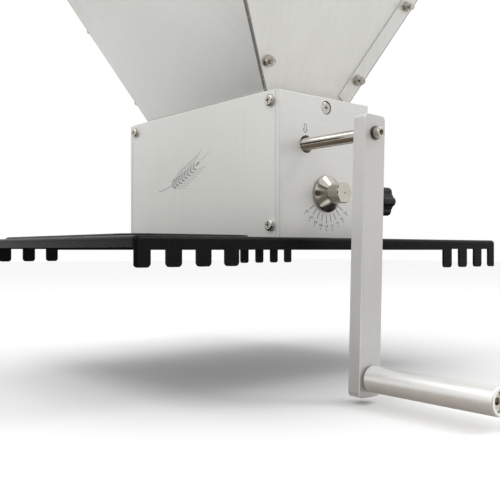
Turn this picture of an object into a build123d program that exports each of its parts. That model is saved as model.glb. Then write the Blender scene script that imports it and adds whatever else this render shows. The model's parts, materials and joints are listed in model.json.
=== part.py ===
from build123d import *
import math
import os

# Three-roller grain mill on a black plate that sits across the rim of a bucket.
# All sizes are in millimetres. The origin is the centre of the base plate's underside,
# +X runs along the rollers towards the crank, -Y is the front cover and +Z is up.

# ---- base plate ----
PLATE_T = 2.0
PLATE_X = 296.0
PLATE_Y = 406.0
PLATE_BEND_R = 3.0
PLATE_CORNER_R = 3.5
END_FLANGE_DROP = 9.4
SIDE_FLANGE_DROP = 7.7
TOOTH_DROP = 20.7
BACK_TOOTH_DROP = 25.4
TOOTH_W = 12.0
TOOTH_PITCH = 24.0
TOOTH_COUNT = 4
TOOTH_R = 3.0
SLOT_ROOT_DROP = 8.6
PAD_H = 2.0
PAD_X = 236.0
PAD_Y0 = 74.0
PAD_Y1 = 190.0
PAD_R = 22.0
PAD_WALL = 2.6
DISCHARGE_X = 184.0
DISCHARGE_Y = 76.0
DISCHARGE_R = 5.0

# ---- housing ----
BOX_X = 232.0
BOX_Y = 105.0
BOX_H = 118.0
END_T = 20.0
END_CHAMFER = 0.8
COVER_T = 1.5
COVER_INSET = 5.0
COVER_GAP = 0.3
COVER_LIP = 2.9
COVER_FOOT_GAP = 0.4
COVER_SCREW_X = 105.0
COVER_SCREW_LOW = 12.6
COVER_SCREW_HIGH = 112.6

# ---- rollers ----
ROLLER_R = 22.5
ROLLER_LEN = 190.0
ROLLER_Z = 79.0
UPPER_GAP = 1.6
ADJUST_Z = 39.3
JOURNAL_R = 6.0
SHAFT_R = 5.0
RUN_CLEARANCE = 0.05
BUSH_R = 9.0
BUSH_LEN = 12.0
SHAFT_HOLE_R = 7.25

# ---- gap adjusters ----
ECCENTRICITY = 0.85
ECCENTRIC_ANGLE = -149.6
ADJUSTER_R = 11.0
ADJUSTER_BUSH_R = 8.0
KNOB_R = 15.3
KNOB_NECK_R = 7.2
KNOB_GRIP_R = 8.55
KNOB_LEN = 21.0
KNOB_GAP = 0.6

# ---- lock knobs ----
LOCK_Z = 37.0
LOCK_STAND = 8.5
LOCK_STUD_R = 3.0
LOCK_LOBES = 6
LOCK_LOBE_R = 4.6
LOCK_R = 14.2
LOCK_BARREL_R = 11.6
LOCK_HUB_R = 6.5

# ---- crank and handle ----
ARM_GAP = 61.7
ARM_T = 11.2
ARM_W = 23.0
ARM_TOP = 13.8
ARM_LEN = 208.6
ARM_CORNER_R = 4.0
ARM_EDGE = 0.5
CRANK_RADIUS = 181.0
CRANK_LEAN = 1.7
GRIP_R = 9.7
GRIP_LEN = 105.0
AXLE_R = 4.0

# ---- hopper ----
HOPPER_T = 1.5
HOPPER_HALF_X = 87.9
HOPPER_HALF_Y = 46.4
HOPPER_SLOPE_X = 0.309
HOPPER_SLOPE_Y = 0.603
HOPPER_SHIFT_X = 3.0
HOPPER_SHIFT_Y = 0.4
HOPPER_TOP = 320.0
HOPPER_LOW_Y_PANEL = 100.5
HOPPER_TAB_LOW = 103.0
HOPPER_FLANGE = 14.5
HOPPER_NOTCH = 12.0
HOPPER_HEM = 9.0
HOPPER_BEND_R = 2.4
HOPPER_SCREW_EDGE = 7.0
HOPPER_SCREW_Z = (145.0, 215.0, 285.0)
HOPPER_HOLE_R = 2.6
HOPPER_WASHER_T = 0.9
MOUNT_SCREW_Z = 111.6

# ---- places worked out from the sizes above ----
BOX_TOP = PLATE_T + BOX_H
END_X = BOX_X / 2
INNER_X = END_X - END_T
MID_X = END_X - END_T / 2
HALF_Y = BOX_Y / 2
UPPER_Y = ROLLER_R + UPPER_GAP / 2
LOWER_Y = ECCENTRICITY * math.cos(math.radians(ECCENTRIC_ANGLE))
LOWER_Z = ADJUST_Z + ECCENTRICITY * math.sin(math.radians(ECCENTRIC_ANGLE))
ARM_X0 = END_X + ARM_GAP
ARM_X1 = ARM_X0 + ARM_T
DRIVE_Y = -UPPER_Y
BIG = 1000.0


# ---------------------------------------------------------------- basic shapes
def block(x0, x1, y0, y1, z0, z1):
    """A box between two corners, given in any order."""
    centre = ((x0 + x1) / 2, (y0 + y1) / 2, (z0 + z1) / 2)
    return Pos(*centre) * Box(abs(x1 - x0), abs(y1 - y0), abs(z1 - z0))


def rod_x(radius, x0, x1, y=0.0, z=0.0):
    """A cylinder along X."""
    return Pos((x0 + x1) / 2, y, z) * Rot(0, 90, 0) * Cylinder(radius, abs(x1 - x0))


def rod_y(radius, y0, y1, x=0.0, z=0.0):
    """A cylinder along Y."""
    return Pos(x, (y0 + y1) / 2, z) * Rot(90, 0, 0) * Cylinder(radius, abs(y1 - y0))


def rod_z(radius, z0, z1, x=0.0, y=0.0):
    """A cylinder along Z."""
    return Pos(x, y, (z0 + z1) / 2) * Cylinder(radius, abs(z1 - z0))


def turned(points):
    """A solid turned about Z from (radius, height) points on one side of the axis."""
    outline = Polyline(*[(r, 0, z) for r, z in points], close=True)
    return revolve(make_face(outline), Axis.Z)


def mirrored(shape, side):
    """The shape itself for side +1, its mirror image across X = 0 for side -1."""
    return shape if side > 0 else mirror(shape, about=Plane.YZ)


def swung(shape):
    """A crank piece, drawn hanging straight down, turned to its rest angle on the drive shaft."""
    return shape.rotate(Axis((0, DRIVE_Y, ROLLER_Z), (1, 0, 0)), -CRANK_LEAN)


# ---------------------------------------------------------------- fasteners, drawn along +Z, head up
def cross_recess(top, size, depth):
    """The cross-shaped driver recess in a screw head whose top is at the given height."""
    bar = block(-size / 2, size / 2, -0.5, 0.5, top - depth, top + 1)
    return bar + Rot(0, 0, 90) * bar


def pan_screw(head_r, head_h, shank_r, shank_len, recess):
    """A pan-head screw with its head's underside at Z = 0."""
    head = fillet(Cylinder(head_r, head_h).edges().sort_by(Axis.Z)[-1], head_h * 0.45)
    head = Pos(0, 0, head_h / 2) * head
    return head - cross_recess(head_h, recess, head_h * 0.55) + rod_z(shank_r, -shank_len, 0)


def countersunk_screw(head_r, head_h, shank_r, shank_len):
    """A flat-head screw with its top face at Z = 0."""
    head = turned([(0, 0), (head_r, 0), (shank_r, -head_h), (shank_r, -shank_len), (0, -shank_len)])
    return head - cross_recess(0, head_r * 1.1, 1.6)


def hex_prism(across_flats, z0, z1):
    """A hexagonal prism about Z."""
    face = RegularPolygon(across_flats / math.sqrt(3), 6)
    return Pos(0, 0, z0) * extrude(face, amount=z1 - z0)


def hex_nut(across_flats, height, hole_r):
    """A hexagonal nut standing on Z = 0."""
    cone = turned([(0, -1), (across_flats * 0.62, -1), (across_flats * 0.5, height + 0.3), (0, height + 0.3)])
    return (hex_prism(across_flats, 0, height) & cone) - rod_z(hole_r, -1, height + 1)


def facing(direction, x, y, z):
    """The placement that turns a fastener's +Z to +X, -X, +Y, -Y or -Z and moves it to a point."""
    turns = {"+X": (0, 90, 0), "-X": (0, -90, 0), "+Y": (-90, 0, 0), "-Y": (90, 0, 0), "-Z": (180, 0, 0)}
    return Pos(x, y, z) * Rot(*turns[direction])


# ---------------------------------------------------------------- base plate
def comb_flange(side):
    """One end flange, bent down from the plate, with a comb at both of its ends. The back comb's teeth are longer."""
    x0 = side * (PLATE_X / 2 - PLATE_T)
    x1 = side * PLATE_X / 2
    half = PLATE_Y / 2
    flange = block(x0, x1, -half, half, PLATE_T - END_FLANGE_DROP, PLATE_T)
    for end, drop in ((-1, TOOTH_DROP), (1, BACK_TOOTH_DROP)):
        for i in range(TOOTH_COUNT):
            y0 = end * (half - i * TOOTH_PITCH)
            y1 = y0 - end * TOOTH_W
            tooth = block(x0, x1, y0, y1, PLATE_T - drop, PLATE_T - SLOT_ROOT_DROP)
            tips = tooth.edges().filter_by(Axis.X).sort_by(Axis.Z)[:2]
            flange += fillet(tips, TOOTH_R)
        for i in range(TOOTH_COUNT - 1):
            y0 = end * (half - TOOTH_W - i * TOOTH_PITCH)
            y1 = y0 - end * (TOOTH_PITCH - TOOTH_W)
            flange -= block(x0 - side, x1 + side, y0, y1, -BIG, PLATE_T - SLOT_ROOT_DROP)
    return flange


def raised_pad():
    """The pressed, raised field on the plate's front wing, and the hollow that it leaves underneath."""
    middle = -(PAD_Y0 + PAD_Y1) / 2
    span = PAD_Y1 - PAD_Y0
    skin = extrude(RectangleRounded(PAD_X, span, PAD_R), amount=PAD_H + PLATE_T / 2)
    skin = fillet(skin.faces().sort_by(Axis.Z)[-1].edges(), PAD_H * 0.9)
    hollow = RectangleRounded(PAD_X - 2 * PAD_WALL, span - 2 * PAD_WALL, PAD_R - PAD_WALL)
    hollow = extrude(hollow, amount=PLATE_T + 1)
    return Pos(0, middle, PLATE_T / 2) * skin, Pos(0, middle, -1) * hollow


def base_screw_places():
    """The four places of the screws that hold the end plates down."""
    return [(x, y) for x in (-MID_X, MID_X) for y in (-34.0, 34.0)]


def base_plate():
    half_x = PLATE_X / 2
    half_y = PLATE_Y / 2
    plate = block(-half_x, half_x, -half_y, half_y, 0, PLATE_T)
    for side in (-1, 1):
        plate += block(
            -half_x, half_x, side * (half_y - PLATE_T), side * half_y, PLATE_T - SIDE_FLANGE_DROP, PLATE_T
        )
        plate += comb_flange(side)
    envelope = extrude(RectangleRounded(PLATE_X, PLATE_Y, PLATE_CORNER_R), amount=BACK_TOOTH_DROP)
    envelope = fillet(envelope.faces().sort_by(Axis.Z)[-1].edges(), PLATE_BEND_R)
    plate = plate & Pos(0, 0, PLATE_T - BACK_TOOTH_DROP) * envelope
    skin, hollow = raised_pad()
    plate = plate + skin - hollow
    opening = extrude(RectangleRounded(DISCHARGE_X, DISCHARGE_Y, DISCHARGE_R), amount=3 * PLATE_T)
    plate -= Pos(0, 0, -PLATE_T) * opening
    for x, y in base_screw_places():
        cone = turned([(0, -0.01), (5.0, -0.01), (2.9, 1.95), (2.9, 3), (0, 3)])
        plate -= Pos(x, y, 0) * cone
    return plate


def base_screws():
    screw = countersunk_screw(4.6, 1.85, 2.5, 15.0)
    return [facing("-Z", x, y, 0.1) * screw for x, y in base_screw_places()]


# ---------------------------------------------------------------- housing
def cover_screw_places(front):
    """The (x, z) places of one cover's screws. The front cover has none at its low corner away from the crank."""
    places = [(x, z) for x in (-COVER_SCREW_X, COVER_SCREW_X) for z in (COVER_SCREW_LOW, COVER_SCREW_HIGH)]
    return [p for p in places if not (front and p == (-COVER_SCREW_X, COVER_SCREW_LOW))]


def end_plate(side):
    """A thick end plate. It is drawn at the crank end; the far one is its mirror image, with a closed shaft bore."""
    plate = block(INNER_X, END_X, -HALF_Y, HALF_Y, PLATE_T, BOX_TOP)
    outer = plate.faces().sort_by(Axis.X)[-1]
    plate = chamfer(outer.edges(), END_CHAMFER)
    for s in (-1, 1):
        plate -= block(
            INNER_X - 1, END_X - COVER_INSET, s * (HALF_Y - COVER_T), s * (HALF_Y + 1), 0, BOX_TOP + 1
        )
        for x, z in cover_screw_places(side > 0 and s < 0):
            if x > 0:
                plate -= rod_y(2.55, s * HALF_Y, s * (HALF_Y - 12), x, z)
        plate -= rod_z(2.55, 0, PLATE_T + 15, MID_X, s * 34.0)
        plate -= rod_x(BUSH_R, INNER_X - 1, INNER_X + BUSH_LEN, s * UPPER_Y, ROLLER_Z)
        plate -= rod_x(JOURNAL_R + 0.5, INNER_X, INNER_X + BUSH_LEN + 1.5, s * UPPER_Y, ROLLER_Z)
    if side > 0:
        plate -= rod_x(SHAFT_HOLE_R, INNER_X, END_X + 1, DRIVE_Y, ROLLER_Z)
    plate -= rod_x(ADJUSTER_R + RUN_CLEARANCE, INNER_X - 1, END_X + 1, 0, ADJUST_Z)
    plate -= rod_y(LOCK_STUD_R + 0.08, 0, HALF_Y + 1, MID_X, LOCK_Z)
    plate -= rod_x(2.8, INNER_X - 1, END_X + 1, 0, MOUNT_SCREW_Z)
    plate -= rod_x(5.8, END_X - 3.2, END_X + 1, 0, MOUNT_SCREW_Z)
    return mirrored(plate, side)


def cover(side):
    """The thin front (side -1) or back (side +1) cover, with its top edge bent over towards the hopper."""
    half = END_X - COVER_INSET - COVER_GAP
    outer = side * HALF_Y
    sheet = block(-half, half, outer, outer - side * COVER_T, PLATE_T + COVER_FOOT_GAP, BOX_TOP + COVER_T)
    sheet += block(-half, half, outer, outer - side * COVER_LIP, BOX_TOP, BOX_TOP + COVER_T)
    along = sheet.edges().filter_by(Axis.X)
    bend = along.filter_by(lambda e: e.center().Z > BOX_TOP + COVER_T - 0.1).sort_by(Axis.Y)
    sheet = fillet(bend[0] if side < 0 else bend[-1], COVER_T * 0.9)
    for x, z in cover_screw_places(side < 0):
        sheet -= rod_y(2.8, outer - 4, outer + 4, x, z)
    if side > 0:
        for x in (-MID_X, MID_X):
            sheet -= rod_y(LOCK_STUD_R + 0.6, outer - 4, outer + 4, x, LOCK_Z)
    return sheet


def cover_screws():
    screw = pan_screw(4.8, 3.3, 2.5, 11.0, 4.6)
    front = [facing("-Y", x, -HALF_Y, z) * screw for x, z in cover_screw_places(True)]
    back = [facing("+Y", x, HALF_Y, z) * screw for x, z in cover_screw_places(False)]
    return front + back


# ---------------------------------------------------------------- hopper
def hopper_body(grow_x, grow_y, low, high):
    """The hopper's inner shape between two heights, with its walls moved outwards by the given thicknesses."""
    step_x = grow_x * math.hypot(1, HOPPER_SLOPE_X)
    step_y = grow_y * math.hypot(1, HOPPER_SLOPE_Y)
    ends = []
    for z in (low, high):
        half_x = HOPPER_HALF_X + step_x + HOPPER_SLOPE_X * (z - BOX_TOP)
        half_y = HOPPER_HALF_Y + step_y + HOPPER_SLOPE_Y * (z - BOX_TOP)
        ends.append(Pos(HOPPER_SHIFT_X, HOPPER_SHIFT_Y, z) * Rectangle(2 * half_x, 2 * half_y))
    return loft(ends)


def hopper_screw_places():
    """Where the hopper's screws sit on the end panels: (x side, y side, z)."""
    return [(sx, sy, z) for sx in (-1, 1) for sy in (-1, 1) for z in HOPPER_SCREW_Z]


def hopper_screw_frame(sx, sy, z):
    """A placement on the outside of a folded flange, with +Z pointing out of the end panel."""
    out = 2 * HOPPER_T * math.hypot(1, HOPPER_SLOPE_X)
    x = HOPPER_SHIFT_X + sx * (HOPPER_HALF_X + HOPPER_SLOPE_X * (z - BOX_TOP) + out)
    inward = HOPPER_SCREW_EDGE * math.hypot(1, HOPPER_SLOPE_Y)
    y = HOPPER_SHIFT_Y + sy * (HOPPER_HALF_Y + HOPPER_SLOPE_Y * (z - BOX_TOP) - inward)
    return Plane(origin=(x, y, z), x_dir=(0, 1, 0), z_dir=(sx, 0, -HOPPER_SLOPE_X)).location


def hopper_end_panel(side):
    """The +X or -X panel: a flat flaring sheet, a ledge out to the end plate and a tab down its inner face."""
    low = BOX_TOP + 1.0
    sheet = hopper_body(HOPPER_T, -0.1, low, HOPPER_TOP) - hopper_body(0, 50, low - 1, HOPPER_TOP + 1)
    sheet = sheet & block(HOPPER_SHIFT_X, side * BIG, -BIG, BIG, 0, BIG)
    hole = rod_z(HOPPER_HOLE_R, -8, 5)
    for place in hopper_screw_places():
        if place[0] == side:
            sheet -= hopper_screw_frame(*place) * hole
    foot = HOPPER_SHIFT_X + side * HOPPER_HALF_X
    wall = side * (INNER_X - 0.1)
    ledge_low = low + 0.1 - HOPPER_T
    half = HALF_Y - COVER_LIP - 0.6
    sheet += block(foot, wall, -half, half, ledge_low, low + 0.1)
    half = HOPPER_HALF_Y - HOPPER_SLOPE_Y * (BOX_TOP - HOPPER_TAB_LOW)
    sheet += block(wall - side * HOPPER_T, wall, -half, half, HOPPER_TAB_LOW, ledge_low + 0.1)
    return sheet - rod_x(2.8, wall - 5, wall + 5, 0, MOUNT_SCREW_Z)


def hopper_notch(side):
    """A prism along X that takes the lower inner corner off a side panel's folded flanges."""
    fold = HOPPER_HALF_Y + 1.0
    inner = fold - 20.0
    outline = [(inner, HOPPER_NOTCH + 2.2), (fold, 2.2), (fold, -3.0), (inner, -3.0)]
    points = [(HOPPER_SHIFT_Y + side * y, BOX_TOP + z) for y, z in outline]
    face = make_face(Plane.YZ * Polyline(*points, close=True))
    return Pos(-BIG / 2, 0, 0) * extrude(face, BIG, dir=(1, 0, 0))


def hopper_side_panel(side):
    """The front or back panel: a flaring sheet whose edges are folded over the outside of the end panels."""
    wide = hopper_body(2 * HOPPER_T, HOPPER_T, BOX_TOP + 2.0, HOPPER_TOP)
    folds = wide.edges().filter_by(Axis.X, reverse=True).filter_by(Axis.Y, reverse=True)
    wide = fillet(folds, HOPPER_BEND_R)
    sheet = wide - hopper_body(60, 0, BOX_TOP, HOPPER_TOP + 1)
    edge = wide - hopper_body(HOPPER_T + 0.02, 60, BOX_TOP, HOPPER_TOP + 1)
    edge -= hopper_body(60, -HOPPER_FLANGE, BOX_TOP, HOPPER_TOP + 1)
    edge -= hopper_notch(side)
    sheet += edge
    chute = hopper_body(-0.8, HOPPER_T, HOPPER_LOW_Y_PANEL, BOX_TOP + 2.5)
    chute -= hopper_body(60, 0, HOPPER_LOW_Y_PANEL - 1, BOX_TOP + 4)
    narrow = HOPPER_HALF_X - 0.8
    chute = chute & block(HOPPER_SHIFT_X - narrow, HOPPER_SHIFT_X + narrow, -BIG, BIG, 0, BIG)
    sheet += chute
    hem_low = HOPPER_TOP - HOPPER_HEM
    hem = hopper_body(HOPPER_T, 2 * HOPPER_T, hem_low, HOPPER_TOP)
    hem -= hopper_body(60, HOPPER_T - 0.1, hem_low - 1, HOPPER_TOP + 1)
    sheet += hem
    sheet = sheet & block(-BIG, BIG, 0, side * BIG, 0, BIG)
    hole = rod_z(HOPPER_HOLE_R, -8, 5)
    for place in hopper_screw_places():
        if place[1] == side:
            sheet -= hopper_screw_frame(*place) * hole
    return sheet


def hopper_screws():
    """Screws put in from inside the hopper, whose ends stand out of their nuts."""
    screw = pan_screw(4.6, 2.8, 2.45, 11.0, 4.4)
    inside = Pos(0, 0, -2 * HOPPER_T - 0.1) * Rot(180, 0, 0)
    return [hopper_screw_frame(*place) * inside * screw for place in hopper_screw_places()]


def hopper_washers():
    washer = rod_z(5.1, 0.02, HOPPER_WASHER_T) - rod_z(HOPPER_HOLE_R, -1, 3)
    return [hopper_screw_frame(*place) * washer for place in hopper_screw_places()]


def hopper_nuts():
    nut = Pos(0, 0, HOPPER_WASHER_T) * hex_nut(8.0, 4.0, 2.5)
    return [hopper_screw_frame(*place) * nut for place in hopper_screw_places()]


def mount_screws():
    """The two screws, sunk in the end plates, that hold the hopper's tabs."""
    screw = pan_screw(5.2, 2.8, 2.5, 22.5, 4.8)
    right = facing("+X", END_X - 3.2, 0, MOUNT_SCREW_Z) * screw
    left = facing("-X", -END_X + 3.2, 0, MOUNT_SCREW_Z) * screw
    return [right, left]


def mount_nuts():
    nut = hex_nut(8.0, 3.5, 2.55)
    inside = INNER_X - 0.15 - HOPPER_T
    right = facing("-X", inside, 0, MOUNT_SCREW_Z) * nut
    left = facing("+X", -inside, 0, MOUNT_SCREW_Z) * nut
    return [right, left]


# ---------------------------------------------------------------- rollers and bushings
def roller(y, z):
    """A roller body with a turned journal at each end."""
    half = ROLLER_LEN / 2
    body = rod_x(ROLLER_R, -half, half, y, z)
    body = chamfer(body.edges().filter_by(GeomType.CIRCLE), 1.0)
    return body + rod_x(JOURNAL_R, -INNER_X - BUSH_LEN - 0.5, INNER_X + BUSH_LEN + 0.5, y, z)


def drive_roller():
    """The driven roller, whose crank-side journal runs on as the drive shaft into the crank arm."""
    end = ARM_X0 + 8.5
    shaft = rod_x(SHAFT_R, INNER_X, end, DRIVE_Y, ROLLER_Z)
    shaft = chamfer(shaft.edges().filter_by(GeomType.CIRCLE).sort_by(Axis.X)[-1], 0.6)
    return roller(DRIVE_Y, ROLLER_Z) + shaft - rod_x(2.5, end - 14, end + 1, DRIVE_Y, ROLLER_Z)


def bushing(outer_r, x0, x1, y, z):
    """A plain bronze bushing that a roller's journal runs in."""
    return rod_x(outer_r, x0, x1, y, z) - rod_x(JOURNAL_R + RUN_CLEARANCE, x0 - 1, x1 + 1, y, z)


def roller_bushings():
    found = []
    for side in (-1, 1):
        for y in (-UPPER_Y, UPPER_Y):
            x0 = side * (INNER_X + 0.1)
            x1 = side * (INNER_X + BUSH_LEN)
            found.append(bushing(BUSH_R, min(x0, x1), max(x0, x1), y, ROLLER_Z))
    return found


# ---------------------------------------------------------------- gap adjusters
def adjuster(side):
    """An eccentric journal with its knob: it turns in the end plate and carries the lower roller off centre."""
    start = END_X + KNOB_GAP
    profile = [
        (0, INNER_X + 0.6), (ADJUSTER_R, INNER_X + 0.6), (ADJUSTER_R, start), (KNOB_R, start),
        (KNOB_R, start + 1.6), (KNOB_R - 0.6, start + 2.2), (KNOB_NECK_R, start + 7.4),
        (KNOB_NECK_R, start + 8.2), (KNOB_GRIP_R - 0.5, start + 8.6), (KNOB_GRIP_R, start + 9.1),
        (KNOB_GRIP_R, END_X + KNOB_LEN - 0.5), (KNOB_GRIP_R - 0.5, END_X + KNOB_LEN), (0, END_X + KNOB_LEN),
    ]
    body = Pos(0, 0, ADJUST_Z) * Rot(0, 90, 0) * turned(profile)
    body -= rod_x(ADJUSTER_BUSH_R, INNER_X - 1, INNER_X + 14, LOWER_Y, LOWER_Z)
    body -= rod_x(0.7, END_X + KNOB_LEN - 0.6, END_X + KNOB_LEN + 1, 0, ADJUST_Z)
    return mirrored(body, side)


def adjuster_bushing(side):
    x0 = INNER_X + 0.7
    return mirrored(bushing(ADJUSTER_BUSH_R, x0, x0 + BUSH_LEN, LOWER_Y, LOWER_Z), side)


# ---------------------------------------------------------------- lock knobs
def lock_knob(side):
    """A lobed plastic knob on the back edge of an end plate, drawn along +Z and then laid along +Y."""
    ring = LOCK_R - LOCK_LOBE_R
    lobe = Cylinder(LOCK_LOBE_R, 17)
    lobe = Pos(0, 0, 16.5) * fillet(lobe.edges().filter_by(GeomType.CIRCLE), 1.4)
    knob = rod_z(LOCK_BARREL_R, 8.4, 24.6)
    for i in range(LOCK_LOBES):
        turn = math.radians(3 + 360 * i / LOCK_LOBES)
        knob += Pos(ring * math.cos(turn), ring * math.sin(turn), 0) * lobe
    knob += turned([(0, 20), (9.0, 24.5), (8.0, 26.5), (5.5, 27.6), (0, 28)])
    knob += rod_z(LOCK_HUB_R, 2.0, 9)
    knob -= rod_z(LOCK_STUD_R, 0, 18)
    return facing("+Y", side * MID_X, HALF_Y + LOCK_STAND, LOCK_Z) * knob


def lock_stud(side):
    """The stud in the lock knob, which bears on the eccentric journal."""
    reach = math.sqrt(ADJUSTER_R**2 - (ADJUST_Z - LOCK_Z) ** 2)
    return rod_y(LOCK_STUD_R - 0.02, reach + 0.6, HALF_Y + LOCK_STAND + 17.5, side * MID_X, LOCK_Z)


# ---------------------------------------------------------------- crank and handle
def crank_arm():
    top = ROLLER_Z + ARM_TOP
    arm = block(ARM_X0, ARM_X1, DRIVE_Y - ARM_W / 2, DRIVE_Y + ARM_W / 2, top - ARM_LEN, top)
    arm = fillet(arm.edges().filter_by(Axis.X), ARM_CORNER_R)
    faces = arm.faces().filter_by(Axis.X)
    arm = chamfer([e for f in faces for e in f.edges()], ARM_EDGE)
    arm -= rod_x(SHAFT_R + 0.05, ARM_X0 - 1, ARM_X0 + 8.7, DRIVE_Y, ROLLER_Z)
    arm -= rod_x(2.6, ARM_X0, ARM_X1 + 1, DRIVE_Y, ROLLER_Z)
    arm -= rod_y(3.05, DRIVE_Y, DRIVE_Y + ARM_W, (ARM_X0 + ARM_X1) / 2 - 1.0, ROLLER_Z)
    arm -= rod_x(3.1, ARM_X0 - 1, ARM_X1 + 1, DRIVE_Y, ROLLER_Z - CRANK_RADIUS)
    return swung(arm)


def crank_washer():
    ring = rod_x(5.1, ARM_X1, ARM_X1 + 1.2, DRIVE_Y, ROLLER_Z)
    return swung(ring - rod_x(2.6, ARM_X1 - 1, ARM_X1 + 3, DRIVE_Y, ROLLER_Z))


def crank_screw():
    """The socket-head screw that draws the arm on to the end of the drive shaft."""
    head = fillet(Cylinder(4.25, 5).edges().sort_by(Axis.Z)[-1], 0.6)
    screw = Pos(0, 0, 2.5) * head - hex_prism(4.0, 2.4, 6) + rod_z(2.45, -14.5, 0)
    return swung(facing("+X", ARM_X1 + 1.2, DRIVE_Y, ROLLER_Z) * screw)


def crank_set_screw():
    """The grub screw in the arm's edge, which bears on the drive shaft."""
    end = DRIVE_Y + ARM_W / 2 + 1.4
    screw = rod_y(3.0, DRIVE_Y + SHAFT_R + 0.1, end, (ARM_X0 + ARM_X1) / 2 - 1.0, ROLLER_Z)
    screw = chamfer(screw.edges().filter_by(GeomType.CIRCLE), 0.4)
    socket = facing("+Y", (ARM_X0 + ARM_X1) / 2 - 1.0, end - 2, ROLLER_Z) * hex_prism(3.0, 0, 3)
    return swung(screw - socket)


def handle_piece(shape):
    """A piece drawn about Z, with Z = 0 on the arm's outer face, moved on to the handle's axis."""
    return swung(facing("+X", ARM_X1, DRIVE_Y, ROLLER_Z - CRANK_RADIUS) * shape)


def handle_grip():
    """The turned tube that the hand holds, free to spin on its axle."""
    z0 = 1.4
    z1 = z0 + GRIP_LEN
    tube = Pos(0, 0, (z0 + z1) / 2) * Cylinder(GRIP_R, GRIP_LEN)
    tube = fillet(tube.edges().filter_by(GeomType.CIRCLE), 1.3)
    tube -= rod_z(AXLE_R + 0.08, 0, z1 + 1)
    tube -= rod_z(7.2, z1 - 8, z1 + 1)
    return handle_piece(tube)


def handle_axle():
    """The shoulder bolt through the grip, with a hex socket in its head and its thread in the arm."""
    head_base = 1.4 + GRIP_LEN - 7.6
    axle = rod_z(AXLE_R, 1.2, head_base) + rod_z(6.5, head_base, head_base + 5)
    axle -= hex_prism(5.0, head_base + 2, head_base + 6)
    axle += rod_z(3.0, -ARM_T - 3.4, 1.2)
    return handle_piece(axle)


def handle_spacer():
    return handle_piece(rod_z(6.6, 0, 1.2) - rod_z(3.05, -1, 2))


def handle_nut():
    return handle_piece(Pos(0, 0, -ARM_T) * Rot(180, 0, 0) * hex_nut(9.5, 3.0, 3.02))


# ---------------------------------------------------------------- the set of parts
def all_parts():
    """Every node's name with its solid, or with a list of identical solids."""
    parts = {
        "base_plate": base_plate(),
        "base_screws": base_screws(),
        "end_plate_right": end_plate(1),
        "end_plate_left": end_plate(-1),
        "front_cover": cover(-1),
        "back_cover": cover(1),
        "cover_screws": cover_screws(),
        "hopper_panel_right": hopper_end_panel(1),
        "hopper_panel_left": hopper_end_panel(-1),
        "hopper_panel_front": hopper_side_panel(-1),
        "hopper_panel_back": hopper_side_panel(1),
        "hopper_screws": hopper_screws(),
        "hopper_washers": hopper_washers(),
        "hopper_nuts": hopper_nuts(),
        "hopper_mount_screws": mount_screws(),
        "hopper_mount_nuts": mount_nuts(),
        "roller_bushings": roller_bushings(),
        "drive_roller": drive_roller(),
        "passive_roller": roller(UPPER_Y, ROLLER_Z),
        "lower_roller": roller(LOWER_Y, LOWER_Z),
        "crank_arm": crank_arm(),
        "crank_washer": crank_washer(),
        "crank_screw": crank_screw(),
        "crank_set_screw": crank_set_screw(),
        "handle_axle": handle_axle(),
        "handle_spacer": handle_spacer(),
        "handle_nut": handle_nut(),
        "handle_grip": handle_grip(),
    }
    for name, side in (("right", 1), ("left", -1)):
        parts[f"gap_adjuster_{name}"] = adjuster(side)
        parts[f"adjuster_bushing_{name}"] = adjuster_bushing(side)
        parts[f"lock_knob_{name}"] = lock_knob(side)
        parts[f"lock_stud_{name}"] = lock_stud(side)
    return parts


os.makedirs("parts", exist_ok=True)
for node, shape in all_parts().items():
    solids = shape if isinstance(shape, list) else [shape]
    export_step(Compound(children=[s for piece in solids for s in piece.solids()]), f"parts/{node}.step")
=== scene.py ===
"""Looks for the grain mill: materials, knurled rollers, engraved marks, light and camera."""
import json
import math

import bmesh
import bpy
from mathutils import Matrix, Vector

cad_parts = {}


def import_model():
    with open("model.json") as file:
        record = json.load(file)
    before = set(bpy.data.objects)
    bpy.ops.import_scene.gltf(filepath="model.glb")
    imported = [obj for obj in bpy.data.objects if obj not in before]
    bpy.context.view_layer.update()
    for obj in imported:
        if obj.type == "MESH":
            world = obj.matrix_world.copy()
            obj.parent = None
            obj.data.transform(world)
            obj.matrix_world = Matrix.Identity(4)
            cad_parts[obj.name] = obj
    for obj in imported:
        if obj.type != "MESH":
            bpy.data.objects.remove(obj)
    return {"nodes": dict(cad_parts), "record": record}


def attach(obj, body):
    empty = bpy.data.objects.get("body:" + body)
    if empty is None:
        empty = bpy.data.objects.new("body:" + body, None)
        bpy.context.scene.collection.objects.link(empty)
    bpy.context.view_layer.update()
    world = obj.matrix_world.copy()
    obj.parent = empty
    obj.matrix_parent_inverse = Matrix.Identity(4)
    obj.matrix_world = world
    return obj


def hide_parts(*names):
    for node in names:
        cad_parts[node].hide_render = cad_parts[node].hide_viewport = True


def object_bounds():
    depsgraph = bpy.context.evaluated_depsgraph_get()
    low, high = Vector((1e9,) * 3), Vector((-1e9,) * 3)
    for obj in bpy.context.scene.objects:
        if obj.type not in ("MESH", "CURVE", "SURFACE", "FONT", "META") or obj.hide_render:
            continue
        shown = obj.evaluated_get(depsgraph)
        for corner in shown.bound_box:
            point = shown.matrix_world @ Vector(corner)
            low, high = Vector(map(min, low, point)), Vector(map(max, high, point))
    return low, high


# ---- places on the mill, in metres ----
END_X = 0.116
COVER_Y = -0.0525
ADJUST_Z = 0.0393
SHAFT_Y = -0.0233
SHAFT_Z = 0.079
ROLLER_HALF = 0.095
ROLLER_R = 0.0225
JOURNAL_R = 0.006
JOURNAL_HALF = 0.1085
SHAFT_R = 0.005
SHAFT_END = 0.1862
SHAFT_BORE_R = 0.0025
SHAFT_BORE_DEPTH = 0.014
ROLLER_CHAMFER = 0.0012
SHAFT_CHAMFER = 0.0006
JOURNAL_CHAMFER = 0.0004
TURNED_EDGE = 0.0011
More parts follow.
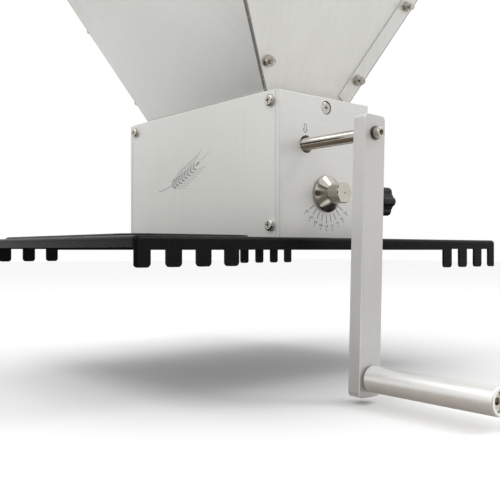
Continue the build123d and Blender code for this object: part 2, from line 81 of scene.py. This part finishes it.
TURNED_DEPTH = 0.0013
LOWER_Y = -0.000733
LOWER_Z = 0.03887

# ---- camera ----
CAMERA_AT = (0.5432, -0.4351, -0.0075)
CAMERA_AZIMUTH = 50.5
CAMERA_LENS = 52.13

# ---- stage ----
STAGE_CENTRE = (0.08, 0, 0.06)
FLOOR_HALF = 6.0
FLOOR_GAP = 0.005

# ---- knurl ----
KNURL_AROUND = 120
KNURL_ALONG = 158
KNURL_DEPTH = 0.00055

# ---- engraved marks: how far they reach into and stand out of a face, and the gap scale's sizes ----
MARK_LOW = -0.00004
MARK_HIGH = 0.00003
TICK_STEP = 14.0
TICK_COUNT = 9
TICK_WIDTH = 0.0006
TICK_FROM = 0.0174
TICK_TO = 0.0236
MIDDLE_TICK_TO = 0.0248
GAP_PER_TICK = 0.2
ARROW_STROKE = 0.0005

# ---- the ear of barley on the front cover ----
EAR_AT = (-0.028, 0.0605)
EAR_REACH = 0.066
EAR_RISE = 0.022
EAR_ROWS = 8
STEM_STROKES = 16
STEM_WIDTH = 0.0008
GRAIN_LENGTH = 0.0082
GRAIN_WIDTH = 0.0026
AWN_LENGTH = 0.014
AWN_WIDTH = 0.0004

# ---- colours that more than one look uses ----
BRIGHT_CUT = (0.90, 0.90, 0.88)
SMUDGE = (0.50, 0.49, 0.46)
MIX_FIRST = 6
MIX_SECOND = 7


# ---------------------------------------------------------------- material building
class Look:
    """A material's nodes, with short names for the ones that the looks share."""

    def __init__(self, name):
        self.material = bpy.data.materials.new(name)
        self.material.use_nodes = True
        self.nodes = self.material.node_tree.nodes
        self.links = self.material.node_tree.links
        self.surface = self.nodes["Principled BSDF"]
        self.place = self.nodes.new("ShaderNodeTexCoord").outputs["Object"]

    def feed(self, socket, value):
        """Sets a socket, or links another node's output to it."""
        if isinstance(value, bpy.types.NodeSocket):
            self.links.new(value, socket)
        else:
            socket.default_value = value

    def set(self, **values):
        """Sets the surface's own sockets, with spaces in their names written as underscores."""
        for name, value in values.items():
            self.feed(self.surface.inputs[name.replace("_", " ")], value)
        return self

    def stretched(self, stretch):
        node = self.nodes.new("ShaderNodeMapping")
        self.feed(node.inputs["Vector"], self.place)
        self.feed(node.inputs["Scale"], stretch)
        return node.outputs["Vector"]

    def noise(self, scale, detail=3.0, rough=0.55, stretch=None, where=None):
        node = self.nodes.new("ShaderNodeTexNoise")
        place = where if where is not None else self.place
        if stretch:
            place = self.stretched(stretch)
        self.feed(node.inputs["Vector"], place)
        self.feed(node.inputs["Scale"], scale)
        self.feed(node.inputs["Detail"], detail)
        self.feed(node.inputs["Roughness"], rough)
        return node.outputs["Fac"]

    def grains(self, scale):
        node = self.nodes.new("ShaderNodeTexVoronoi")
        self.feed(node.inputs["Vector"], self.place)
        self.feed(node.inputs["Scale"], scale)
        return node.outputs["Distance"]

    def remap(self, value, low, high, to_low, to_high):
        node = self.nodes.new("ShaderNodeMapRange")
        node.interpolation_type = "SMOOTHSTEP"
        self.feed(node.inputs["Value"], value)
        self.feed(node.inputs["From Min"], low)
        self.feed(node.inputs["From Max"], high)
        self.feed(node.inputs["To Min"], to_low)
        self.feed(node.inputs["To Max"], to_high)
        return node.outputs["Result"]

    def maths(self, operation, a, b):
        node = self.nodes.new("ShaderNodeMath")
        node.operation = operation
        self.feed(node.inputs[0], a)
        self.feed(node.inputs[1], b)
        return node.outputs["Value"]

    def colours(self, factor, first, second):
        """The first colour where the factor is nought and the second where it is one."""
        return self.tint((*first, 1.0), factor, second)

    def tint(self, colour, factor, other):
        """A colour, or a colour output, mixed towards another colour."""
        node = self.nodes.new("ShaderNodeMix")
        node.data_type = "RGBA"
        self.feed(node.inputs["Factor"], factor)
        self.feed(node.inputs[MIX_FIRST], colour)
        self.feed(node.inputs[MIX_SECOND], (*other, 1.0))
        return node.outputs[2]

    def normal_parts(self):
        """The three parts of the surface's direction."""
        split = self.nodes.new("ShaderNodeSeparateXYZ")
        self.feed(split.inputs["Vector"], self.nodes.new("ShaderNodeTexCoord").outputs["Normal"])
        return [split.outputs[name] for name in ("X", "Y", "Z")]

    def edge_cuts(self):
        """One on faces cut at a slant to all three axes' planes, such as chamfers, and nought elsewhere."""
        x, y, z = [self.maths("ABSOLUTE", part, 0.0) for part in self.normal_parts()]
        most = self.maths("MAXIMUM", self.maths("MAXIMUM", x, y), z)
        return self.remap(most, 0.84, 0.93, 1.0, 0.0)

    def folds(self):
        """One on faces that turn between the X and Y sides, such as a fold's bend, and nought elsewhere."""
        x, y, _ = self.normal_parts()
        both = self.maths("MULTIPLY", x, y)
        return self.remap(self.maths("ABSOLUTE", both, 0.0), 0.05, 0.22, 0.0, 1.0)

    def bump(self, height, distance, strength=1.0, after=None):
        node = self.nodes.new("ShaderNodeBump")
        self.feed(node.inputs["Height"], height)
        self.feed(node.inputs["Distance"], distance)
        self.feed(node.inputs["Strength"], strength)
        if after is not None:
            self.feed(node.inputs["Normal"], after)
        self.feed(self.surface.inputs["Normal"], node.outputs["Normal"])
        return node.outputs["Normal"]


def blasted_aluminium(name, light, dark, rough, streak):
    """Bead-blasted aluminium with bright-cut edges, faint clouds, fine streaks and a few smudges."""
    look = Look(name)
    clouds = look.noise(9.0, 2.0)
    grain = look.noise(2600.0, 2.0, 0.7)
    lines = look.noise(1.0, 3.0, 0.6, streak)
    tone = look.maths("ADD", look.maths("MULTIPLY", clouds, 0.45), look.maths("MULTIPLY", lines, 0.25))
    tone = look.maths("ADD", tone, look.maths("MULTIPLY", grain, 0.30))
    colour = look.colours(look.remap(tone, 0.36, 0.66, 0.0, 1.0), dark, light)
    smudge = look.remap(look.noise(34.0, 5.0, 0.65), 0.60, 0.74, 0.0, 1.0)
    colour = look.tint(colour, look.maths("MULTIPLY", smudge, 0.10), SMUDGE)
    cuts = look.edge_cuts()
    colour = look.tint(colour, look.maths("MULTIPLY", cuts, 0.7), BRIGHT_CUT)
    look.set(Base_Color=colour, Metallic=0.45, Specular_IOR_Level=0.4)
    finish = look.maths("ADD", look.remap(grain, 0.3, 0.7, rough - 0.03, rough + 0.04),
                      look.maths("MULTIPLY", smudge, -0.05))
    finish = look.maths("SUBTRACT", finish, look.maths("MULTIPLY", cuts, rough - 0.22))
    look.set(Roughness=finish)
    fine = look.bump(grain, 0.00003, 0.35)
    look.bump(clouds, 0.0006, 0.12, fine)
    return look.material


def housing_look():
    light = (0.650, 0.646, 0.622)
    dark = (0.602, 0.598, 0.578)
    return blasted_aluminium("housing_aluminium", light, dark, 0.44, (40, 40, 500))


def cover_look():
    light = (0.675, 0.678, 0.645)
    dark = (0.622, 0.625, 0.594)
    return blasted_aluminium("cover_aluminium", light, dark, 0.42, (900, 30, 14))


def hopper_look():
    """Satin rolled sheet: long faint rolling lines, light scuffs, and a painted dark reflection on the folds'
    bends.
    """
    look = Look("hopper_aluminium")
    rolled = look.noise(1.0, 4.0, 0.6, (140, 140, 10))
    clouds = look.noise(7.0, 3.0)
    grain = look.noise(1900.0, 2.0, 0.7)
    tone = look.maths("ADD", look.maths("MULTIPLY", rolled, 0.4), look.maths("MULTIPLY", clouds, 0.4))
    tone = look.maths("ADD", tone, look.maths("MULTIPLY", grain, 0.2))
    mix = look.remap(tone, 0.36, 0.66, 0.0, 1.0)
    colour = look.colours(mix, (0.640, 0.637, 0.610), (0.690, 0.687, 0.662))
    scuffs = look.remap(look.noise(1.0, 6.0, 0.7, (60, 60, 420)), 0.66, 0.78, 0.0, 0.5)
    colour = look.tint(colour, look.maths("MULTIPLY", scuffs, 0.35), (0.70, 0.70, 0.69))
    bend = look.folds()
    # painted shade: the folds' bends are tinted towards near-black, a painted dark reflection of the
    # surroundings
    colour = look.tint(colour, look.maths("MULTIPLY", bend, 0.75), (0.16, 0.155, 0.145))
    finish = look.remap(rolled, 0.25, 0.75, 0.33, 0.43)
    finish = look.maths("SUBTRACT", finish, look.maths("MULTIPLY", bend, 0.14))
    look.set(Base_Color=colour, Metallic=0.6, Roughness=finish, Anisotropic=0.2)
    relief = look.maths("ADD", look.maths("MULTIPLY", rolled, 0.5), look.maths("MULTIPLY", grain, 0.5))
    look.bump(relief, 0.00003, 0.2)
    return look.material


def powder_coat_look():
    """Satin black powder coat with a fine orange peel, dust and a little wear."""
    look = Look("black_powder_coat")
    peel = look.noise(900.0, 2.0, 0.5)
    wide = look.noise(160.0, 2.0, 0.5)
    dust = look.remap(look.noise(55.0, 6.0, 0.7), 0.55, 0.80, 0.0, 0.25)
    specks = look.remap(look.grains(420.0), 0.0, 0.16, 0.20, 0.0)
    dust = look.maths("MAXIMUM", dust, look.maths("MULTIPLY", specks, 0.5))
    look.set(Base_Color=look.colours(dust, (0.0030, 0.0030, 0.0028), (0.0120, 0.0118, 0.0108)))
    look.set(Roughness=look.remap(wide, 0.3, 0.7, 0.27, 0.33), Specular_IOR_Level=0.10)
    fine = look.bump(peel, 0.00006, 0.45)
    look.bump(wide, 0.00016, 0.25, fine)
    return look.material


def turned_look(name, light, dark, rough, pitch, line_depth, metallic=1.0):
    """Metal turned on a lathe: fine rings along the X direction, over a slow change of tone."""
    look = Look(name)
    rings = look.noise(1.0, 4.0, 0.75, (pitch, 3.0, 3.0))
    clouds = look.noise(60.0, 3.0)
    tone = look.maths("ADD", look.maths("MULTIPLY", rings, 0.6), look.maths("MULTIPLY", clouds, 0.4))
    colour = look.colours(look.remap(tone, 0.35, 0.65, 0.0, 1.0), dark, light)
    look.set(Base_Color=colour, Metallic=metallic)
    look.set(Roughness=look.remap(tone, 0.3, 0.7, rough - 0.05, rough + 0.07))
    look.bump(rings, line_depth, 0.4)
    return look.material


def roller_look():
    return turned_look("roller_steel", (0.50, 0.48, 0.435), (0.40, 0.38, 0.34), 0.13, 5200.0, 0.00001)


def polished_look():
    return turned_look("polished_steel", (0.60, 0.57, 0.50), (0.48, 0.45, 0.39), 0.15, 4200.0, 0.000012)


def crank_look():
    light = (0.535, 0.530, 0.512)
    dark = (0.480, 0.475, 0.458)
    return blasted_aluminium("crank_aluminium", light, dark, 0.38, (60, 700, 12))


def grip_look():
    light = (0.90, 0.895, 0.87)
    dark = (0.85, 0.845, 0.82)
    return turned_look("grip_aluminium", light, dark, 0.42, 900.0, 0.000004, 0.75)


def bronze_look():
    # the dark brown is partly oiled bronze and partly painted shade for bushings set deep in their bores
    return turned_look("bronze", (0.24, 0.15, 0.07), (0.15, 0.09, 0.04), 0.38, 2200.0, 0.00002)


def plated_look(name, light, dark, rough):
    """Plated or blackened fastener steel, with small pits and smudges."""
    look = Look(name)
    clouds = look.noise(380.0, 4.0, 0.6)
    pits = look.remap(look.grains(1500.0), 0.05, 0.30, 0.0, 1.0)
    colour = look.colours(look.remap(clouds, 0.35, 0.65, 0.0, 1.0), dark, light)
    finish = look.remap(clouds, 0.3, 0.7, rough - 0.05, rough + 0.1)
    look.set(Base_Color=colour, Metallic=1.0, Roughness=finish)
    look.bump(pits, 0.00002, 0.3)
    return look.material


def screw_look():
    return plated_look("screw_steel", (0.62, 0.595, 0.55), (0.45, 0.43, 0.39), 0.15)


def dark_steel_look():
    return plated_look("dark_steel", (0.16, 0.145, 0.125), (0.08, 0.072, 0.062), 0.34)


def plastic_look():
    """Moulded black plastic with a fine matt grain and patches greyed at random."""
    look = Look("black_plastic")
    grain = look.noise(1500.0, 3.0, 0.6)
    clouds = look.noise(120.0, 4.0)
    wear = look.remap(clouds, 0.55, 0.75, 0.0, 0.5)
    look.set(Base_Color=look.colours(wear, (0.0042, 0.0042, 0.0045), (0.011, 0.011, 0.0115)))
    look.set(Roughness=look.remap(grain, 0.3, 0.7, 0.38, 0.52), Specular_IOR_Level=0.3)
    look.bump(grain, 0.00005, 0.5)
    return look.material


def engraved_look(name, tone, rough):
    """The matt floor of a shallow engraved mark."""
    look = Look(name)
    grain = look.noise(3200.0, 3.0, 0.6)
    dark = tuple(part * 0.75 for part in tone)
    colour = look.colours(look.remap(grain, 0.35, 0.65, 0.0, 1.0), dark, tone)
    look.set(Base_Color=colour, Metallic=0.3, Roughness=rough)
    look.bump(grain, 0.00003, 0.5)
    return look.material


def knurled_look():
    """The hardened roller's knurled steel, with a slow change of tone and a fine grain."""
    look = Look("knurled_steel")
    clouds = look.noise(240.0, 4.0, 0.6)
    mix = look.remap(clouds, 0.35, 0.65, 0.0, 1.0)
    look.set(Base_Color=look.colours(mix, (0.30, 0.29, 0.28), (0.46, 0.45, 0.43)))
    look.set(Metallic=1.0, Roughness=look.remap(clouds, 0.3, 0.7, 0.26, 0.40))
    look.bump(look.noise(2200.0, 2.0), 0.00002, 0.4)
    return look.material


# ---------------------------------------------------------------- geometry helpers
def add_object(name, mesh, material, body):
    """Puts a finished mesh in the scene as a piece that rides on a body."""
    mesh.materials.clear()
    mesh.materials.append(material)
    piece = bpy.data.objects.new(name, mesh)
    bpy.context.scene.collection.objects.link(piece)
    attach(piece, body)
    return piece


def mesh_from(name, points, faces):
    mesh = bpy.data.meshes.new(name)
    mesh.from_pydata(points, [], faces)
    mesh.update()
    return mesh


def ring(points, x, radius, count, y, z, knurl_row=None):
    """Adds a circle of points about the X direction and returns their numbers."""
    first = len(points)
    for step in range(count):
        angle = 2 * math.pi * step / count
        # a knurl's row sinks every other point, and the next row the ones between
        sunk = knurl_row is not None and (step + knurl_row) % 2 == 0
        reach = radius - KNURL_DEPTH if sunk else radius
        points.append((x, y + reach * math.cos(angle), z + reach * math.sin(angle)))
    return list(range(first, first + count))


def band(faces, lower, upper, flip_odd=None):
    """Joins two circles of points with faces: squares, or with flip_odd triangles along a knurl's grooves."""
    count = len(lower)
    for step in range(count):
        after = (step + 1) % count
        a, b, c, d = lower[step], lower[after], upper[after], upper[step]
        if flip_odd is None:
            faces.append((a, b, c, d))
        elif (step + flip_odd) % 2 == 0:
            faces.extend([(a, b, c), (a, c, d)])
        else:
            faces.extend([(a, b, d), (b, c, d)])


def knurled_roller(name, y, z, drive=False):
    """A roller with a diamond knurl, chamfered ends and turned journals, as one closed mesh."""
    points = []
    faces = []
    count = KNURL_AROUND
    knurl_half = ROLLER_HALF - ROLLER_CHAMFER
    left = [
        (-JOURNAL_HALF, JOURNAL_R - JOURNAL_CHAMFER), (-JOURNAL_HALF + JOURNAL_CHAMFER, JOURNAL_R),
        (-ROLLER_HALF, JOURNAL_R), (-ROLLER_HALF, ROLLER_R - ROLLER_CHAMFER),
    ]
    right = [(-x, radius) for x, radius in reversed(left)]
    if drive:
        right += [
            (JOURNAL_HALF, SHAFT_R), (SHAFT_END - SHAFT_CHAMFER, SHAFT_R),
            (SHAFT_END, SHAFT_R - SHAFT_CHAMFER), (SHAFT_END, SHAFT_BORE_R),
            (SHAFT_END - SHAFT_BORE_DEPTH, SHAFT_BORE_R),
        ]
    rings = [ring(points, x, radius, count, y, z) for x, radius in left]
    for lower, upper in zip(rings, rings[1:]):
        band(faces, lower, upper)
    last = rings[-1]
    faces.append(tuple(reversed(rings[0])))
    for row in range(KNURL_ALONG + 1):
        x = -knurl_half + 2 * knurl_half * row / KNURL_ALONG
        circle = ring(points, x, ROLLER_R, count, y, z, row)
        band(faces, last, circle, None if row == 0 else row - 1)
        last = circle
    for x, radius in right:
        circle = ring(points, x, radius, count, y, z)
        band(faces, last, circle)
        last = circle
    faces.append(tuple(last))
    mesh = mesh_from(name, points, [tuple(reversed(face)) for face in faces])
    finish_normals(mesh)
    return mesh


def finish_normals(mesh):
    """Turns every face outwards."""
    work = bmesh.new()
    work.from_mesh(mesh)
    bmesh.ops.recalc_face_normals(work, faces=work.faces)
    work.to_mesh(mesh)
    work.free()


def prism(points, faces, outline, low, high, place):
    """Adds a flat outline, drawn in (across, up), as a closed prism between two heights over a face."""
    first = len(points)
    count = len(outline)
    for height in (low, high):
        for across, up in outline:
            points.append(place(across, up, height))
    faces.append(tuple(range(first, first + count)))
    faces.append(tuple(reversed(range(first + count, first + 2 * count))))
    for step in range(count):
        after = (step + 1) % count
        faces.append((first + step, first + count + step, first + count + after, first + after))


def on_end_plate(side, y, z):
    """Places a flat drawing on the outer face of an end plate, with its own centre at (y, z)."""
    return lambda across, up, height: (side * (END_X + height), y + side * across, z + up)


def on_front_cover(x, z):
    return lambda across, up, height: (x + across, COVER_Y - height, z + up)


def bar(x0, y0, x1, y1, width):
    """A straight stroke's outline."""
    length = math.hypot(x1 - x0, y1 - y0)
    nx = -(y1 - y0) / length * width / 2
    ny = (x1 - x0) / length * width / 2
    return [(x0 - nx, y0 - ny), (x1 - nx, y1 - ny), (x1 + nx, y1 + ny), (x0 + nx, y0 + ny)]


def ray(x, y, turn, length, width):
    """A straight stroke's outline, from a point in a direction."""
    return bar(x, y, x + length * math.cos(turn), y + length * math.sin(turn), width)


def add_mark(name, outlines, place, material):
    """Makes one piece of several flat engraved outlines."""
    points = []
    faces = []
    for outline in outlines:
        prism(points, faces, outline, MARK_LOW, MARK_HIGH, place)
    mesh = mesh_from(name, points, faces)
    finish_normals(mesh)
    return add_object(name, mesh, material, "mill_body")


def text_outlines(text, size, across, up):
    """The triangles of a short generic text, centred on a point."""
    curve = bpy.data.curves.new("text_outline", "FONT")
    curve.body = text
    curve.size = size
    curve.align_x = "CENTER"
    curve.align_y = "CENTER"
    curve.resolution_u = 4
    curve.offset = size * 0.015
    holder = bpy.data.objects.new("text_outline", curve)
    mesh = bpy.data.meshes.new_from_object(holder)
    outlines = []
    for face in mesh.polygons:
        places = [mesh.vertices[number].co for number in face.vertices]
        outlines.append([(place.x + across, place.y + up) for place in places])
    bpy.data.objects.remove(holder)
    bpy.data.curves.remove(curve)
    bpy.data.meshes.remove(mesh)
    return outlines


# ---------------------------------------------------------------- engraved marks
def scale_outlines():
    """The gap scale below an adjuster: radial ticks, and two rows of plain numbers."""
    outlines = []
    for number in range(TICK_COUNT):
        angle = math.radians((number - TICK_COUNT // 2) * TICK_STEP)
        away = (math.sin(angle), -math.cos(angle))
        reach = MIDDLE_TICK_TO if number == TICK_COUNT // 2 else TICK_TO
        ends = [radius * part for radius in (TICK_FROM, reach) for part in away]
        outlines.append(bar(*ends, TICK_WIDTH))
        gap = f"{GAP_PER_TICK * (number + 1):.1f}"
        for radius, size, text in ((0.0270, 0.0030, gap), (0.0302, 0.0026, f"{number + 1}")):
            outlines += text_outlines(text, size, radius * away[0], radius * away[1])
    return outlines


def arrow_outlines():
    """A small arrow pointing down at the drive shaft, drawn in outline."""
    right = [(0.0012, 0.0037), (0.0012, -0.0005), (0.0025, -0.0005)]
    left = [(-across, up) for across, up in reversed(right)]
    points = [*right, (0.0, -0.0036), *left]
    return [bar(*start, *end, ARROW_STROKE) for start, end in zip(points, points[1:] + points[:1])]


def leaf(cx, cy, length, width, turn, count=14):
    """A pointed grain's outline, centred on a point and turned."""
    side = []
    for step in range(count + 1):
        along = step / count
        side.append((length * (along - 0.5), width / 2 * math.sin(math.pi * along) ** 0.8))
    outline = side + [(x, -y) for x, y in reversed(side[1:-1])]
    cos, sin = math.cos(turn), math.sin(turn)
    return [(cx + x * cos - y * sin, cy + x * sin + y * cos) for x, y in outline]


def ear_outlines():
    """A barley ear: two rows of grains on a curved stem, each with its long awn."""
    outlines = []

    def stem(along):
        return EAR_REACH * (along - 0.5), EAR_RISE * (along ** 1.5 - 0.5)

    def slope(along):
        return math.atan2(EAR_RISE * 1.5 * along ** 0.5, EAR_REACH)

    for step in range(STEM_STROKES):
        ends = stem(0.92 * step / STEM_STROKES) + stem(0.92 * (step + 1) / STEM_STROKES)
        outlines.append(bar(*ends, STEM_WIDTH))
    for row in range(EAR_ROWS):
        along = 0.34 + 0.52 * row / (EAR_ROWS - 1)
        x, y = stem(along)
        size = 1.0 - 0.035 * row
        for side in (-1, 1):
            turn = slope(along) + side * 0.62
            out = 0.0009 + 0.0042 * size
            centre_x = x + out * math.cos(turn)
            centre_y = y + out * math.sin(turn)
            outlines.append(leaf(centre_x, centre_y, GRAIN_LENGTH * size, GRAIN_WIDTH * size, turn))
            tip_x = centre_x + 0.0047 * size * math.cos(turn)
            tip_y = centre_y + 0.0047 * size * math.sin(turn)
            outlines.append(ray(tip_x, tip_y, slope(along) + side * 0.30, AWN_LENGTH, AWN_WIDTH))
    outlines.append(leaf(*stem(0.985), GRAIN_LENGTH, GRAIN_WIDTH, slope(1.0)))
    outlines.append(ray(*stem(1.06), slope(1.0), AWN_LENGTH + 0.001, AWN_WIDTH))
    return outlines


# ---------------------------------------------------------------- dressing the mill
def dress_nodes(frame):
    """Gives every CAD node the material of its slot in the record."""
    makers = {
        "housing_aluminium": housing_look, "cover_aluminium": cover_look, "hopper_aluminium": hopper_look,
        "black_powder_coat": powder_coat_look, "roller_steel": roller_look, "bronze": bronze_look,
        "polished_steel": polished_look, "screw_steel": screw_look, "crank_aluminium": crank_look,
        "grip_aluminium": grip_look, "dark_steel": dark_steel_look, "black_plastic": plastic_look,
    }
    looks = {slot: maker() for slot, maker in makers.items()}
    for part in frame["record"]["subparts"]:
        mesh = frame["nodes"][part["node"]].data
        mesh.materials.clear()
        mesh.materials.append(looks[part["material_slot"]])
    return looks


def add_rollers(looks):
    """Puts knurled rollers in place of the plain ones."""
    knurled = knurled_look()
    places = [
        ("drive_roller", "crank", SHAFT_Y, SHAFT_Z, True),
        ("passive_roller", "passive_roller_body", -SHAFT_Y, SHAFT_Z, False),
        ("lower_roller", "lower_roller_body", LOWER_Y, LOWER_Z, False),
    ]
    for node, body, y, z, drive in places:
        name = f"{node}_knurled"
        mesh = knurled_roller(name, y, z, drive)
        piece = add_object(name, mesh, knurled, body)
        piece.data.materials.append(looks["roller_steel"])
        for face in piece.data.polygons:
            middle = face.center
            turned = abs(middle.x) > ROLLER_HALF - TURNED_EDGE
            face.material_index = 1 if turned else 0
            away = math.hypot(middle.y - y, middle.z - z)
            face.use_smooth = turned and away < ROLLER_R - TURNED_DEPTH and abs(face.normal.x) < 0.5
        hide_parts(node)


def add_marks():
    """The scales, the arrow and the ear, as shallow engraved marks."""
    dark = engraved_look("engraved_dark", (0.085, 0.083, 0.078), 0.6)
    light = engraved_look("engraved_light", (0.36, 0.36, 0.345), 0.6)
    for side, word in ((1, "right"), (-1, "left")):
        add_mark(f"gap_scale_{word}", scale_outlines(), on_end_plate(side, 0.0, ADJUST_Z), dark)
    add_mark("turn_arrow", arrow_outlines(), on_end_plate(1, SHAFT_Y - 0.0012, SHAFT_Z + 0.0126), dark)
    add_mark("ear_mark", ear_outlines(), on_front_cover(*EAR_AT), light)


# ---------------------------------------------------------------- stage
def plain_material(name, colour, rough):
    look = Look(name)
    speck = look.remap(look.noise(3.0, 2.0), 0.3, 0.7, 0.0, 1.0)
    look.set(Base_Color=look.colours(speck, colour, tuple(part * 0.99 for part in colour)), Roughness=rough)
    look.set(Specular_IOR_Level=0.1)
    return look.material


def add_sheet(name, half_w, half_h, colour):
    """A flat stage piece of one colour, centred on its own origin."""
    outline = [(-half_w, -half_h, 0), (half_w, -half_h, 0), (half_w, half_h, 0), (-half_w, half_h, 0)]
    mesh = mesh_from(name, outline, [(0, 1, 2, 3)])
    mesh.materials.append(plain_material(name, colour, 0.9))
    sheet = bpy.data.objects.new(name, mesh)
    bpy.context.scene.collection.objects.link(sheet)
    return sheet


def add_card(name, at, towards, width, height, colour):
    """A card near the mill that only reflections see."""
    card = add_sheet(name, width / 2, height / 2, colour)
    card.location = at
    card.rotation_euler = (Vector(towards) - Vector(at)).to_track_quat("Z", "Y").to_euler()
    card.visible_camera = False
    card.visible_shadow = False
    card.visible_diffuse = False


def add_light(name, at, towards, width, height, power):
    data = bpy.data.lights.new(name, "AREA")
    data.shape = "RECTANGLE"
    data.size = width
    data.size_y = height
    data.energy = power
    light = bpy.data.objects.new(name, data)
    light.location = at
    light.rotation_euler = (Vector(at) - Vector(towards)).to_track_quat("Z", "Y").to_euler()
    bpy.context.scene.collection.objects.link(light)


def set_world():
    """An even white surround."""
    world = bpy.data.worlds.new("studio")
    world.use_nodes = True
    background = world.node_tree.nodes["Background"]
    background.inputs["Color"].default_value = (1, 1, 1, 1)
    background.inputs["Strength"].default_value = 1.0
    bpy.context.scene.world = world


def add_camera():
    data = bpy.data.cameras.new("camera")
    data.lens = CAMERA_LENS
    data.sensor_width = 36.0
    data.clip_start = 0.01
    camera = bpy.data.objects.new("camera", data)
    camera.location = CAMERA_AT
    camera.rotation_euler = (math.radians(90), 0, math.radians(CAMERA_AZIMUTH))
    bpy.context.scene.collection.objects.link(camera)
    bpy.context.scene.camera = camera


def set_stage(low):
    """A white floor and surround, two soft lights from above, and cards that shade the metal."""
    scene = bpy.context.scene
    scene.view_settings.view_transform = "Standard"
    scene.view_settings.look = "None"
    set_world()
    floor = add_sheet("floor", FLOOR_HALF, FLOOR_HALF, (0.93, 0.93, 0.93))
    floor.location.z = low - FLOOR_GAP
    centre = STAGE_CENTRE
    add_light("key", (0.95, 0.80, 1.30), centre, 0.5, 0.5, 4.5)
    add_light("front_top", (0.05, -0.95, 1.15), centre, 1.6, 0.5, 6.0)
    add_card("card_front_left", (-0.62, -0.62, 0.11), centre, 0.60, 0.16, (0.45, 0.44, 0.42))
    add_card("card_back_right", (0.75, 0.62, -0.035), centre, 1.2, 0.17, (0.55, 0.53, 0.50))
    add_card("card_camera", (0.86, -0.72, 0.06), centre, 1.10, 0.60, (0.035, 0.030, 0.025))
    under = (-0.20, -0.40, low - 0.003)
    add_card("card_under_left", under, (under[0], under[1], 1.0), 0.50, 0.36, (0.12, 0.115, 0.105))
    below = (0.25, -0.32, low - 0.004)
    add_card("card_below", below, (below[0], below[1], 1.0), 0.7, 0.6, (0.20, 0.155, 0.115))


def corners(box):
    return [list(corner) for corner in box]


def main():
    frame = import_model()
    cad_box = corners(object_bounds())
    looks = dress_nodes(frame)
    add_rollers(looks)
    add_marks()
    add_camera()
    set_stage(cad_box[0][2])


main()
